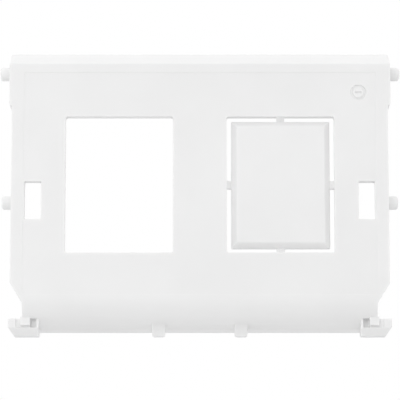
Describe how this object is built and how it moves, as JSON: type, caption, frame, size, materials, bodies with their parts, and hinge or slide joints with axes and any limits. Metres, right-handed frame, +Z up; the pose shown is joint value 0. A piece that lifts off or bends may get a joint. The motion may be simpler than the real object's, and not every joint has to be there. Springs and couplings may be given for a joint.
{
  "type": "two-port jack insert plate",
  "caption": "Shallow moulded insert plate of a data wall socket: an open jack port beside one closed by a break-out blank, with side snap pegs and foot hooks.",
  "frame": {"origin": "middle of the plane of the rear rim, halfway up the plate", "axes": "+X to the right seen from the front, +Y towards the back, +Z up"},
  "size_m": [0.0562, 0.008, 0.0402],
  "materials": {
    "white_plastic": "satin moulded white"
  },
  "bodies": {
    "root": {"insert_plate": "white_plastic"}
  },
  "joints": []
}
